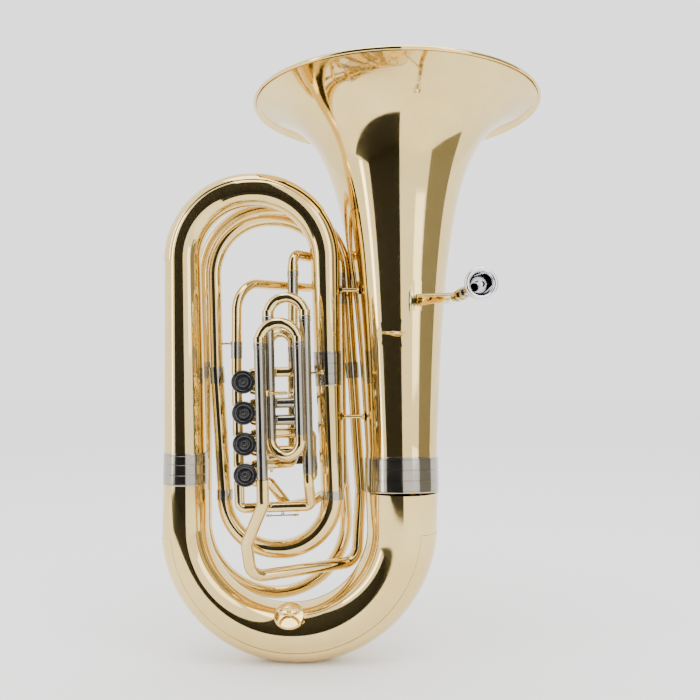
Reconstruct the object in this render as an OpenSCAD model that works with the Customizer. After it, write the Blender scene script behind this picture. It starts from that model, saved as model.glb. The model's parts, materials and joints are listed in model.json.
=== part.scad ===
// Four-valve rotary tuba: bell, nested bows, valve cluster, slides, leadpipe and mouthpiece.
// Millimetres. Origin: lowest point of the bottom bow, in the plane of the bows.
// +X towards the bell, -Y towards the player, +Z up towards the bell's mouth.

/* [Bell] */
// Outer radius of the rolled rim
bell_rim_r = 235; // [228:1:242]
// Bell length along its axis, from the bottom bow to the rim
bell_length = 632; // [620:1:645]
// Flare constant: a small value gives a sudden flare
bell_flare = 36; // [32:1:42]
// How far the bell leans back, away from the player, in degrees
bell_lean = 6.5; // [5.5:0.1:7.5]
// How far the bell leans over the bows, in degrees
bell_side_lean = 0.5; // [0:0.1:1]
// Sheet thickness of the bell and the big bows
sheet = 0.9; // [0.7:0.1:1]

/* [Bows] */
// Centreline radius of the bottom bow
bottom_bow_r = 170.5; // [170:0.1:171]
// Bore radius, outside, where the bottom bow meets the bell
bottom_bow_end_r = 57; // [56.5:0.1:57.5]
// Bore radius, outside, where the bottom bow starts
bottom_bow_start_r = 34; // [33:0.5:34.5]
// Centreline radius of the top bow
top_bow_r = 112; // [111.5:0.1:112.5]
// Height of the top bow's centre
top_bow_z = 630; // [628:0.5:632]
// Outside radius of the third branch at the top of its bottom bow's right end
third_end_r = 18; // [17.5:0.1:18.5]

/* [Tubing] */
// Outside radius of the valve tubing
tube_r = 8; // [7.9:0.1:8.1]
// Wall of the valve tubing
tube_wall = 0.7; // [0.6:0.1:0.7]
// Outside radius of the nickel slide sleeves
sleeve_r = 8.4; // [8.3:0.05:8.5]
// Radial running clearance of slides, rotors and pivots
fit_gap = 0.08; // [0.06:0.01:0.1]

/* [Valves] */
// Distance between neighbouring valves
valve_pitch = 47.2; // [47:0.1:47.5]
// Outside radius of a valve casing
casing_r = 17.1; // [17:0.1:17.2]
// Radius of a rotor
rotor_r = 15.2; // [15:0.1:15.3]
// Outside radius of a screw cap
cap_r = 18; // [17.9:0.1:18.2]
// Radius of the air passages in a rotor
passage_r = 5.8; // [5.5:0.1:5.9]
// Lean of the valve cluster, in degrees
cluster_lean = 1.4; // [1.2:0.1:1.6]

/* [Mouthpiece and rings] */
// Outside radius of the mouthpiece rim
mouthpiece_r = 23.6; // [23:0.1:24]
// Inside radius of a strap ring
ring_bore_r = 13.5; // [13:0.5:14]
// Radius of a strap ring's wire
ring_wire_r = 2.2; // [2:0.1:2.4]

/* [Hidden] */
$fn = 64;
BOW_SIDES = 24;
PIPE_SIDES = 12;
BOW_STEP = 12;
PIPE_STEP = 22.5;
OVERCUT = 1;
UP = [0, 0, 1];
DOWN = [0, 0, -1];
RIGHT = [1, 0, 0];

// Bottom bow centre height: its lowest outside point touches z = 0
bottom_bow_mid_r = (bottom_bow_start_r + bottom_bow_end_r) / 2;
bottom_bow_z = bottom_bow_r + bottom_bow_mid_r;
bottom_bow_right = [bottom_bow_r, 0, 267];
bottom_bow_left = [-171.2, 0, 281];
top_bow_left_foot = [-171.8, 0, 327];
top_bow_right_foot = [52.6, 0, 485];
top_bow_x = -65;
top_bow_start_r = 20.8;
top_bow_end_r = 32.8;
third_bow_centre = [-24, 0, 260.6];
third_bow_r = 85;

guard_from = 120;
guard_to = 240;
guard_lift = 0.3;
guard_t = 1;
garland_lap = 2;
garland_h = 50;
garland_r = 34;
leg_foot = [60.9, 0, 262];
leg_top = [54.5, 0, 436];

second_r = 11;
first_r = 10;
second_leg_foot = [-109.1, 0.1, 262];
second_leg_top = [-122, 5, 450];
second_top_route = [[-122.1, 5.2, 451], [-129, 8, 700], [53.4, 62, 700], [64, 63, 451]];
first_top_route = [[-149, 64, 457], [-155, 62, 725], [73, 64, 725], [92.3, 55, 457]];
first_bottom_route = [[-149, 64.4, 456], [-149.8, 70, 90], [91.8, 70, 90], [64.1, 63.2, 450]];

// Valve cluster. Valve 1 is the top one; index i counts down from 0.
valve_x = -74;
valve_top_z = 441.4;
port_y = -40;
port_dz = 13.2;
main_dx = 11.5;
casing_front = -55;
casing_back = -25;
back_wall = 3;
rotor_front = -54.6;
rotor_back = -28.4;
shaft_r = 4;
shaft_back = -17;
arm_front = -22.6;
arm_t = 4;
arm_r = 11;
rod_y = -8;
rod_ball_r = 2.8;
paddle_dz = 14.2;
axle_x = -42;
axle_y = 34;
axle_r = 2.5;
finger_reach = 48;
function valve_z(i) = valve_top_z - i * valve_pitch;
function valve_at(i) = [valve_x, port_y, valve_z(i)];
function port_end(i, up) = valve_at(i) + [24, 0, up * port_dz];
// A loop tube leaves its valve at 45 degrees and turns level.
function loop_port(i, up) = [valve_at(i) + [10.5, 0, up * 10.5], valve_at(i) + [port_dz, 0, up * port_dz]];
// The main line leaves at 45 degrees on the other side and turns upright.
function main_port(i, up) = [valve_at(i) + [-10, 0, up * 10], valve_at(i) + [-main_dx, 0, up * main_dx]];

// The cluster leans: its places are given upright, then turned about valve 1.
module cluster()
{
    translate([valve_x, 0, valve_top_z])
        rotate([0, -cluster_lean, 0])
            translate([-valve_x, 0, -valve_top_z])
                children();
}
function leaned(p) = let(x = p.x - valve_x, z = p.z - valve_top_z, a = -cluster_lean) [
    valve_x + x * cos(a) + z * sin(a), p.y, valve_top_z - x * sin(a) + z * cos(a)
];

main_mouth_a = [-45.9, -80.5, 500];
main_mouth_b = [12.3, -80.5, 500];
back_mouth_a = [-33.5, -62, 540];
back_mouth_b = [22, -62, 540];
link_z = 329;
link_top_z = 354;
first_mouth_a = [-37, -22, 494];
first_mouth_b = [3, -40, 494];
second_mouth_a = [8, port_y, valve_z(1) + port_dz];
second_mouth_b = [8, port_y, valve_z(1) - port_dz];
third_mouth_a = [26, -26, 303];
third_mouth_b = [26, -44, 303];
fourth_mouth_a = [-1, -12, 614];
fourth_mouth_b = [72, 36, 614];
fourth_return = [[-36, -36, 286.6], [-8, -14, 246], [30, 24, 248], [52, 36, 262], [76, 35, 270]];

gooseneck_route = [
    leaned([main_mouth_a.x, main_mouth_a.y, main_mouth_a.z - 205.2]), [-42, -80.5, 258], [-68, -64, 196],
    [-62, -50, 143], [100, 38, 148], [106, 44, 262], [92.6, 55, 455]
];

// Mouthpiece rim centre, and the way the air goes in
mouthpiece_at = [268, -215, 581];
mouth_in = unit([-0.12, 0.99, -0.07]);
shank_r = 6.2;
receiver_h = 56;
receiver_end = mouthpiece_at + mouth_in * (88 + receiver_h);

// The leadpipe's last stretch comes down into the first valve.
lead_top = [-86, -37, 594];
lead_end = leaned([valve_x - main_dx, port_y, valve_top_z + 10]);

upper_ring = [155, -58, 516];
lower_ring = [-5.5, -54, 91];

turned_brace_z = 424;
key_x = -20;
key_y = -38;
key_z = 235.8;

// Ferrules: place, direction, tube radius, length
ferrules = [
    [second_leg_top, second_leg_top - second_leg_foot, second_r, 26],
    [second_leg_foot, UP, 11.6, 16],
    [leg_foot, UP, third_end_r, 14],
    [first_top_route[0], first_top_route[1] - first_top_route[0], first_r + 0.5, 26],
    [first_top_route[3], first_top_route[3] - first_top_route[2], first_r, 26],
    [second_top_route[3], second_top_route[3] - second_top_route[2], first_r + 0.5, 26],
    [mix(lead_top, lead_end, 0.73), lead_end - lead_top, 7.6, 26]
];

// Struts: from, to, radius
struts = [
    [[-115, 3, 500], [-93.5, -36, 500], 1.6],
    [[72.9, 0, 585], [102.3, 0, 585], 3],
    [[75.7, 0, 385], [111.6, 0, 385], 3],
    [[25.8, -54, 455], [43.9, -19.3, 455], 1.8]
];

brass = [0.86, 0.72, 0.42];
nickel = [0.75, 0.73, 0.69];
black = [0.05, 0.05, 0.06];
silver = [0.85, 0.85, 0.87];

// ---------- geometry helpers ----------

function unit(v) = v / norm(v);
function mix(a, b, t) = a + (b - a) * t;

// Children drawn along +Z are moved to point a and turned to run along direction d.
module along(a, d)
{
    translate(a)
        rotate([0, acos(d.z / norm(d)), atan2(d.y, d.x)])
            children();
}

module rod(a, b, r)
{
    along(a, b - a)
        cylinder(r = r, h = norm(b - a));
}

module hollow_rod(a, b, r, inner)
{
    along(a, b - a)
        difference()
        {
            cylinder(r = r, h = norm(b - a));
            translate([0, 0, -OVERCUT])
                cylinder(r = inner, h = norm(b - a) + 2 * OVERCUT);
        }
}

// Points along the rounded corner p1 of a route, each with its direction of travel.
function corner_path(p0, p1, p2, bend, step) = let(
    back = unit(p0 - p1),
    ahead = unit(p2 - p1),
    turn = 180 - acos(max(-1, min(1, back * ahead))),
    centre = p1 + unit(back + ahead) * bend / cos(turn / 2),
    e1 = unit(p1 + back * bend * tan(turn / 2) - centre),
    e2 = -back,
    n = max(1, ceil(turn / step))
) [for (k = [0 : n]) let(a = turn * k / n)
    [centre + bend * (cos(a) * e1 + sin(a) * e2), cos(a) * e2 - sin(a) * e1]];

// A route of straight stretches with rounded corners, as points with directions.
function route_path(p, bend, step) = let(n = len(p) - 1) concat(
    [[p[0], unit(p[1] - p[0])]],
    [for (i = [1 : 1 : n - 1]) each corner_path(p[i - 1], p[i], p[i + 1], bend, step)],
    [[p[n], unit(p[n] - p[n - 1])]]
);

// Distance along a path to each point, and radii that grow evenly from r0 to r1.
function lengths(path) = [
    for (i = 0, d = 0; i < len(path); i = i + 1, d = i < len(path) ? d + norm(path[i][0] - path[i - 1][0]) : d) d
];
function growing(path, r0, r1) = let(d = lengths(path)) [
    for (i = [0 : len(path) - 1]) mix(r0, r1, d[i] / d[len(d) - 1])
];

// A sideways direction at each point, carried along the path without twist.
function carry(e, t) = unit(e - t * (t * e));
function sideways(path) = [
    for (
        i = 0, e = carry([0, 1, 0.001], path[0][1]);
        i < len(path);
        i = i + 1, e = i < len(path) ? carry(e, path[i][1]) : e
    ) e
];

// Point on a ring round a path point; side 180 is the outside of a bow.
function ring_point(at, e1, r, side) = at[0] + r * (cos(side) * cross(at[1], e1) + sin(side) * e1);

function rings(path, radii, sides) = let(e = sideways(path)) [
    for (i = [0 : len(path) - 1])
        [for (j = [0 : sides - 1]) ring_point(path[i], e[i], radii[i], j * 360 / sides)]
];

// Solid skin over rings that all have the same number of points.
module skin(ring)
{
    n = len(ring[0]);
    m = len(ring);
    polyhedron(
        points = [for (r = ring) each r],
        faces = concat(
            [[for (j = [n - 1 : -1 : 0]) j]],
            [for (i = [0 : m - 2]) for (j = [0 : n - 1])
                [i * n + j, i * n + (j + 1) % n, (i + 1) * n + (j + 1) % n, (i + 1) * n + j]],
            [[for (j = [0 : n - 1]) (m - 1) * n + j]]
        )
    );
}

// Hollow tube along a path, with its own wall all the way.
module tube_skin(path, radii, wall, sides)
{
    n = sides;
    m = len(path);
    outer = rings(path, radii, sides);
    inner = rings(path, [for (r = radii) r - wall], sides);
    polyhedron(
        points = concat([for (r = outer) each r], [for (r = inner) each r]),
        faces = concat(
            [for (i = [0 : m - 2]) for (j = [0 : n - 1])
                [i * n + j, i * n + (j + 1) % n, (i + 1) * n + (j + 1) % n, (i + 1) * n + j]],
            [for (i = [0 : m - 2]) for (j = [0 : n - 1])
                [(m + i) * n + j, (m + i + 1) * n + j, (m + i + 1) * n + (j + 1) % n, (m + i) * n + (j + 1) % n]],
            [for (j = [0 : n - 1]) [j, m * n + j, m * n + (j + 1) % n, (j + 1) % n]],
            [for (j = [0 : n - 1])
                [(m - 1) * n + j, (m - 1) * n + (j + 1) % n,
                    (2 * m - 1) * n + (j + 1) % n, (2 * m - 1) * n + j]]
        )
    );
}

module tapered_tube(path, r0, r1, wall)
{
    tube_skin(path, growing(path, r0, r1), wall, BOW_SIDES);
}

module pipe(p, bend, r, wall = tube_wall)
{
    path = route_path(p, bend, PIPE_STEP);
    tube_skin(path, [for (at = path) r], wall, PIPE_SIDES);
}

// ---------- bell ----------

module bell_frame()
{
    translate(bottom_bow_right)
        rotate([-bell_lean, -bell_side_lean, 0])
            children();
}

bell_throat_h = 55;
bell_end_r = bell_rim_r - 3.5;
function flare_r(h) = h <= bell_throat_h ? bottom_bow_end_r
    : bell_end_r * sqrt(bell_flare / (bell_length - h + bell_flare)) ;
function flare_slope(h) = h <= bell_throat_h ? 0
    : flare_r(h) / (2 * (bell_length - h + bell_flare));
FLARE_STEPS = 22;
flare_h = [for (i = [0 : FLARE_STEPS])
    mix(bell_throat_h, bell_length, 1 - pow(1 - i / FLARE_STEPS, 1.8))];
bead_r = 3.5;

module bell()
{
    color(brass)
        bell_frame()
            rotate_extrude()
            {
                polygon(concat(
                    [[bottom_bow_end_r, 1]],
                    [for (h = flare_h) [flare_r(h), h]],
                    [for (i = [FLARE_STEPS : -1 : 0])
                        let(h = flare_h[i], m = flare_slope(h), s = sheet / sqrt(1 + m * m))
                        [flare_r(h) - s, h + m * s]],
                    [[bottom_bow_end_r - sheet, 1]]
                ));
                difference()
                {
                    translate([bell_end_r, bell_length - bead_r + 0.6])
                        circle(r = bead_r);
                    translate([bell_end_r, bell_length - bead_r + 0.6])
                        circle(r = bead_r - sheet);
                }
            }
}

module bell_garland()
{
    color(nickel)
        bell_frame()
            rotate_extrude()
                difference()
                {
                    translate([bottom_bow_end_r + 0.05, 2])
                        square([1, bell_throat_h - 4]);
                }
}

// ---------- bows ----------

bottom_path = route_path([
    bottom_bow_left, [-bottom_bow_r, 0, bottom_bow_z - bottom_bow_r],
    [bottom_bow_r, 0, bottom_bow_z - bottom_bow_r], bottom_bow_right
], bottom_bow_r - 2, BOW_STEP);

module bottom_bow()
{
    color(brass)
        tapered_tube(bottom_path, bottom_bow_start_r, bottom_bow_end_r, sheet);
}

top_path = route_path([
    top_bow_right_foot, [top_bow_x + top_bow_r, 0, top_bow_z + top_bow_r],
    [top_bow_x - top_bow_r, 0, top_bow_z + top_bow_r], top_bow_left_foot
], top_bow_r - 2, BOW_STEP);

module top_bow()
{
    color(brass)
        tapered_tube(top_path, top_bow_start_r, top_bow_end_r, sheet);
}

third_path = route_path([
    second_leg_foot, [third_bow_centre.x - third_bow_r, 0, third_bow_centre.z - third_bow_r],
    [third_bow_centre.x + third_bow_r, 0, third_bow_centre.z - third_bow_r], leg_foot
], third_bow_r - 2, BOW_STEP);

cover_h = [for (i = [0 : 12]) mix(200, 400, i / 12)];

// ---------- guards, legs and inner branches ----------

// Crescent plate over the outside of a bow, set in from both ends of the bow's path.
module guard(path, r0, r1, start, end)
{
    radii = growing(path, r0, r1);
    e = sideways(path);
    last = len(path) - 1;
    at = concat(
        [[mix(path[0][0], path[1][0], start), path[0][1]]],
        [for (i = [1 : last - 1]) path[i]],
        [[mix(path[last][0], path[last - 1][0], end), path[last][1]]]
    );
    r = concat(
        [mix(radii[0], radii[1], start)],
        [for (i = [1 : last - 1]) radii[i]],
        [mix(radii[last], radii[last - 1], end)]
    );
    skin([for (i = [0 : last]) concat(
        [for (side = [guard_from : 360 / BOW_SIDES : guard_to])
            ring_point(at[i], e[i], r[i] + guard_lift + guard_t, side)],
        [for (side = [guard_to : -360 / BOW_SIDES : guard_from])
            ring_point(at[i], e[i], r[i] + guard_lift, side)]
    )]);
}

module bottom_bow_guard()
{
    color(brass)
        guard(bottom_path, bottom_bow_start_r, bottom_bow_end_r, 0.35, 0.3);
}

module top_bow_guard()
{
    color(brass)
        guard(top_path, top_bow_start_r, top_bow_end_r, 0.8, 0.3);
}

module garlands()
{
    left_garland();
    bell_garland();
    leg_garland();
}

module left_garland()
{
    color(nickel)
        translate(bottom_bow_left - [0, 0, garland_lap])
            difference()
            {
                cylinder(r1 = garland_r + 1.3, r2 = garland_r + 0.1, h = garland_h);
                translate([0, 0, -OVERCUT])
                    cylinder(r1 = garland_r + 0.3, r2 = garland_r - 0.9, h = garland_h + 2 * OVERCUT);
            }
}

module leg_garland()
{
    color(nickel)
        along(leg_top - unit(leg_top - leg_foot) * garland_lap, top_bow_right_foot - leg_top)
            difference()
            {
                cylinder(r1 = 20.9, r2 = 22.3, h = 54);
                translate([0, 0, -OVERCUT])
                    cylinder(r1 = 19.9, r2 = 21.3, h = 54 + 2 * OVERCUT);
            }
}

module third_leg()
{
    length = norm(leg_top - leg_foot);
    color(brass)
        along(leg_foot, leg_top - leg_foot)
            difference()
            {
                cylinder(r1 = third_end_r, r2 = 19.6, h = length);
                translate([0, 0, -OVERCUT])
                    cylinder(r1 = third_end_r - sheet, r2 = 19.6 - sheet, h = length + 2 * OVERCUT);
            }
}

module third_bow()
{
    color(brass)
        tapered_tube(third_path, 11.5, third_end_r, sheet);
}

module second_leg()
{
    color(brass)
        pipe([second_leg_foot, second_leg_top], 10, second_r, sheet);
}

module second_top_bow()
{
    color(brass)
        pipe(second_top_route, 92, second_r - 0.5, sheet);
}

module first_bottom_bow()
{
    color(brass)
        pipe(first_bottom_route, 119, first_r + 0.5, sheet);
}

module first_top_bow()
{
    color(brass)
        pipe(first_top_route, 112, first_r, sheet);
}

module gooseneck()
{
    color(brass)
        pipe(gooseneck_route, 26, 9.3, sheet);
}

module small_ferrules()
{
    color(nickel)
        for (f = ferrules)
            hollow_rod(f[0] - unit(f[1]) * f[3] / 2, f[0] + unit(f[1]) * f[3] / 2, f[2] + 1, f[2] + 0.06);
}

// ---------- slides ----------

// A bow that pulls out of two sleeves. a and b are the sleeve mouths, out is the way it moves.
module slide_bow(a, b, out, legs_a, legs_b, bend)
{
    reach = norm(b - a) / 2 + 0.2;
    pipe([a + out * 0.3, a + out * reach, b + out * reach, b + out * 0.3], bend, tube_r);
    for (leg = [[a, legs_a], [b, legs_b]])
    {
        hollow_rod(leg[0] - out * leg[1], leg[0] + out * 2, inner_leg_r, inner_leg_r - 0.6);
        hollow_rod(leg[0] + out * 0.6, leg[0] + out * slide_ring_h, tube_r + 0.8, tube_r - 0.4);
    }
}

inner_leg_r = sleeve_r - 0.8 - fit_gap;
slide_ring_h = 9;

module sleeve(mouth, out, length)
{
    hollow_rod(mouth - out * length, mouth, sleeve_r, sleeve_r - 0.8);
    hollow_rod(mouth - out * slide_ring_h, mouth, sleeve_r + 0.8, sleeve_r - 0.3);
}

module main_slide()
{
    color(brass)
        cluster()
            slide_bow(main_mouth_a, main_mouth_b, UP, 90, 80, 28.9);
}

module second_slide_bow()
{
    color(brass)
        cluster()
            slide_bow(back_mouth_a, back_mouth_b, UP, 80, 80, 27.6);
}

module linking_bow()
{
    color(brass)
        cluster()
            pipe([
                [main_mouth_b.x, main_mouth_b.y, main_mouth_b.z - 140],
                [main_mouth_b.x, main_mouth_b.y, link_z],
                [back_mouth_a.x, back_mouth_a.y, link_z],
                [back_mouth_a.x, back_mouth_a.y, link_top_z]
            ], 24.2, tube_r);
}

module first_valve_slide()
{
    color(brass)
        cluster()
            slide_bow(first_mouth_a, first_mouth_b, UP, 22, 22, 21.8);
}

module second_valve_slide()
{
    color(nickel)
        cluster()
            slide_bow(second_mouth_a, second_mouth_b, RIGHT, 40, 40, 13.1);
}

module third_valve_slide()
{
    color(brass)
        cluster()
            slide_bow(third_mouth_a, third_mouth_b, DOWN, 16, 16, 8.9);
}

module fourth_valve_slide()
{
    color(brass)
    {
        pipe([
            fourth_mouth_a + UP * 0.3, fourth_mouth_a + UP * 26,
            [24, 36, fourth_mouth_a.z + 26],
            fourth_mouth_b + UP * 26, fourth_mouth_b + UP * 0.3
        ], 15, tube_r);
        for (mouth = [fourth_mouth_a, fourth_mouth_b])
        {
            hollow_rod(mouth - UP * 40, mouth + UP * 2, inner_leg_r, inner_leg_r - 0.6);
            hollow_rod(mouth + UP * 0.6, mouth + UP * slide_ring_h, tube_r + 0.8, tube_r - 0.4);
        }
    }
}

// A tube of the first to fourth valve's loop, from its upper (up = 1) or lower port.
module valve_tube(i, up, route)
{
    difference()
    {
        pipe(concat(loop_port(i, up), route), 9, tube_r);
        casing_space(i);
    }
}

module first_valve_tubing()
{
    color(brass)
        cluster()
        {
            valve_tube(0, 1, [
                [first_mouth_b.x, port_y, valve_z(0) + port_dz], first_mouth_b - UP * 24.1
            ]);
            valve_tube(0, -1, [
                port_end(0, -1) - RIGHT * 2.5,
                [first_mouth_a.x, first_mouth_a.y, valve_z(0) - port_dz], first_mouth_a - UP * 50.1
            ]);
        }
}

module second_valve_tubing()
{
    color(brass)
        cluster()
            for (up = [-1, 1])
                valve_tube(1, up, [port_end(1, up)]);
}

module third_valve_tubing()
{
    color(brass)
        cluster()
        {
            valve_tube(2, 1, [
                [third_mouth_a.x, third_mouth_a.y, valve_z(2) + port_dz], third_mouth_a + UP * 20.1
            ]);
            valve_tube(2, -1, [
                [third_mouth_b.x, third_mouth_b.y, valve_z(2) - port_dz], third_mouth_b + UP * 17.1
            ]);
        }
}

module fourth_valve_tubing()
{
    color(brass)
        for (up = [-1, 1])
            difference()
            {
                pipe(concat(
                    [for (q = loop_port(3, up)) leaned(q)],
                    up > 0
                        ? [leaned(port_end(3, 1)), [fourth_mouth_a.x, fourth_mouth_a.y, leaned(port_end(3, 1)).z],
                            fourth_mouth_a - UP * 50.1]
                        : concat(fourth_return, [fourth_mouth_b - UP * 50.1])
                ), 9, tube_r);
                cluster()
                    casing_space(3);
            }
}

// All nickel outer sleeves that the slides run in.
module slide_sleeves()
{
    color(nickel)
    {
        cluster()
        {
            sleeve(main_mouth_a, UP, 205);
            sleeve(main_mouth_b, UP, 140);
            sleeve(back_mouth_a, UP, back_mouth_a.z - link_top_z);
            sleeve(back_mouth_b, UP, back_mouth_b.z - 300);
            sleeve(first_mouth_a, UP, 50);
            sleeve(first_mouth_b, UP, 24);
            for (mouth = [second_mouth_a, second_mouth_b])
                sleeve(mouth, RIGHT, second_mouth_a.x - port_end(1, 1).x - 0.1);
            sleeve(third_mouth_a, DOWN, 20);
            sleeve(third_mouth_b, DOWN, 17);
        }
        sleeve(fourth_mouth_a, UP, 50);
        sleeve(fourth_mouth_b, UP, 50);
    }
}

// The tubes that join one valve to the next.
module main_line()
{
    color(brass)
        cluster()
            for (i = [0 : 2])
                difference()
                {
                    pipe([main_port(i, -1)[0], main_port(i, -1)[1], main_port(i + 1, 1)[1], main_port(i + 1, 1)[0]],
                        9, tube_r);
                    casing_space(i);
                    casing_space(i + 1);
                }
}

module lower_connector()
{
    color(brass)
        cluster()
            difference()
            {
                pipe([
                    main_port(3, -1)[0], main_port(3, -1)[1],
                    [valve_x - main_dx, port_y, 247],
                    [24, -36, 247],
                    [back_mouth_b.x, back_mouth_b.y, 285],
                    [back_mouth_b.x, back_mouth_b.y, 299.9]
                ], 9, tube_r);
                casing_space(3);
            }
}

// ---------- valves ----------

module across(i, y)
{
    translate([valve_x, y, valve_z(i)])
        rotate([-90, 0, 0])
            children();
}

module valve_casing(i)
{
    color(brass)
        cluster()
            difference()
            {
                across(i, casing_front)
                    cylinder(r = casing_r, h = casing_back - casing_front);
                across(i, casing_front - OVERCUT)
                    cylinder(r = rotor_r + fit_gap, h = casing_back - casing_front - back_wall + OVERCUT);
                across(i, casing_front)
                    cylinder(r = shaft_r + fit_gap, h = casing_back - casing_front + OVERCUT);
                for (side = [45 : 90 : 315])
                    translate([valve_x, port_y, valve_z(i)])
                        rotate([0, side, 0])
                            cylinder(r = passage_r, h = casing_r + OVERCUT);
            }
}

// Space taken by a casing, cut out of the tubes that meet it.
module casing_space(i)
{
    across(i, casing_front)
        cylinder(r = casing_r + 0.05, h = casing_back - casing_front);
}

module rotor(i)
{
    color(brass)
        cluster()
            difference()
            {
                union()
                {
                    across(i, rotor_front)
                        cylinder(r = rotor_r, h = rotor_back - rotor_front);
                    across(i, rotor_front - 3.2)
                        cylinder(r = shaft_r, h = shaft_back - rotor_front + 3.2);
                }
                for (side = [-1, 1])
                    across(i, port_y)
                        translate([side * rotor_r * sqrt(2), 0, 0])
                            rotate_extrude()
                                translate([rotor_r, 0])
                                    circle(r = passage_r);
            }
}

module bearing_plates()
{
    color(brass)
        cluster()
            for (i = [0 : 3])
                across(i, casing_front - 3)
                    difference()
                    {
                        cylinder(r = casing_r - 0.3, h = 3);
                        translate([0, 0, -OVERCUT])
                            cylinder(r = shaft_r + fit_gap, h = 3 + 2 * OVERCUT);
                    }
}

module valve_caps()
{
    color(black)
        cluster()
            for (i = [0 : 3])
                across(i, casing_front - 8.5)
                    rotate_extrude()
                        polygon([
                            [0, 0.4], [1.6, 0.4], [2.4, 1.2], [4.6, 1.2], [5.4, 0.2], [6.4, 0.2], [7.4, 1.4],
                            [12.4, 1.4], [13.4, 0.6], [cap_r - 2, 0], [cap_r, 2], [cap_r, 13],
                            [casing_r + 0.1, 13], [casing_r + 0.1, 5.2], [0, 5.2]
                        ]);
}

module stop_arm(i)
{
    tip = [arm_r * cos(45), 0, arm_r * sin(45)];
    color(nickel)
        cluster()
            translate([valve_x, 0, valve_z(i)])
                difference()
                {
                    union()
                    {
                        hull()
                        {
                            translate([0, arm_front, 0])
                                rotate([-90, 0, 0])
                                    cylinder(r = 6.4, h = arm_t, $fn = 32);
                            translate(tip + [0, arm_front, 0])
                                rotate([-90, 0, 0])
                                    cylinder(r = 3, h = arm_t, $fn = 32);
                        }
                        translate(tip + [0, arm_front, 0])
                            rotate([-90, 0, 0])
                                cylinder(r = 1.6, h = rod_y - rod_ball_r - 0.3 - arm_front);
                    }
                    translate([0, arm_front - OVERCUT, 0])
                        rotate([-90, 0, 0])
                            cylinder(r = shaft_r + 0.02, h = arm_t + 2 * OVERCUT);
                }
}

module linkage_rod(i)
{
    z = valve_z(i) + arm_r * sin(45);
    a = [valve_x + arm_r * cos(45), rod_y, z];
    b = [axle_x, rod_y, z];
    color(nickel)
        cluster()
        {
            rod(a, b, 1.5);
            for (end = [a, b])
                translate(end)
                    sphere(r = rod_ball_r);
        }
}

// A bell-crank paddle: the finger plate is pressed towards the player and the crank pushes the rod.
module paddle(i)
{
    z = valve_z(i) + paddle_dz;
    color(nickel)
        cluster()
            translate([axle_x, axle_y, z])
            {
                difference()
                {
                    cylinder(r = 5, h = 12, center = true);
                    cylinder(r = axle_r + fit_gap, h = 14, center = true);
                }
                translate([-2.5, rod_y - axle_y - 3, -2.2])
                    cube([5, axle_y - rod_y - 1.5, 4.4]);
                translate([4.5, -2, -2.2])
                    cube([finger_reach - 10, 4, 4.4]);
                translate([finger_reach, 1.5, 0])
                    rotate([90, 0, 0])
                        finger_plate();
            }
}

module finger_plate()
{
    hull()
        for (x = [-8, 8])
            translate([x, 0, 0])
                cylinder(r = 10, h = 2.2);
}

module paddle_axle()
{
    color(nickel)
        cluster()
            rod([axle_x, axle_y, valve_z(3) - 8], [axle_x, axle_y, valve_z(0) + paddle_dz + 10], axle_r);
}

module axle_brackets()
{
    color(brass)
        cluster()
            for (i = [0, 3])
                difference()
                {
                    union()
                    {
                        rod([valve_x + casing_r + 1.4, casing_back - 3.5, valve_z(i)],
                            [axle_x, axle_y, valve_z(i)], 2.6);
                        translate([axle_x, axle_y, valve_z(i)])
                            cylinder(r = 5, h = 7, center = true);
                    }
                    translate([axle_x, axle_y, valve_z(i)])
                        cylinder(r = axle_r, h = 9, center = true);
                }
}

module paddle_springs()
{
    color(nickel)
        cluster()
            for (i = [0 : 3])
                translate([axle_x, axle_y, valve_z(i) + paddle_dz - 8.4])
                    difference()
                    {
                        cylinder(r = 4, h = 2);
                        translate([0, 0, -OVERCUT])
                            cylinder(r = axle_r + 0.05, h = 2 + 2 * OVERCUT);
                    }
}

// ---------- leadpipe, receiver and mouthpiece ----------

module leadpipe()
{
    color(brass)
        difference()
        {
            pipe([
                receiver_end, receiver_end + mouth_in * 14, [263, 134, 576], [92, 122, 588], [30, 86, 593],
                lead_top, lead_end
            ], 44, 7.6);
            cluster()
                casing_space(0);
        }
}

module receiver()
{
    mouth = mouthpiece_at + mouth_in * 88;
    color(nickel)
        along(mouth, mouth_in)
            difference()
            {
                union()
                {
                    cylinder(r = 8.6, h = 6);
                    cylinder(r = 7.6, h = receiver_h - 0.1);
                    translate([0, 0, receiver_h - 8])
                        cylinder(r = 8.6, h = 7.9);
                }
                translate([0, 0, -OVERCUT])
                    cylinder(r = shank_r + fit_gap, h = receiver_h + 2 * OVERCUT);
            }
}

module mouthpiece()
{
    r = mouthpiece_r;
    color(silver)
        along(mouthpiece_at, mouth_in)
            rotate_extrude()
                polygon([
                    [16, 5], [16.6, 2], [18, 0.5], [20, 0], [22, 0.7], [r - 0.4, 2.4], [r, 5], [r - 0.6, 8],
                    [r - 2.2, 10], [r - 2.6, 14], [r - 3.4, 20], [r - 6, 28], [r - 10, 36], [r - 13.4, 42],
                    [r - 14.8, 48], [9, 52], [9.4, 55], [9, 58], [7.6, 62], [shank_r + 0.4, 86],
                    [shank_r, 87], [shank_r, 112], [4.6, 112], [3.9, 44], [5.2, 40], [9, 35.5], [12.6, 28],
                    [14.8, 18], [15.6, 10]
                ]);
}

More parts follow.
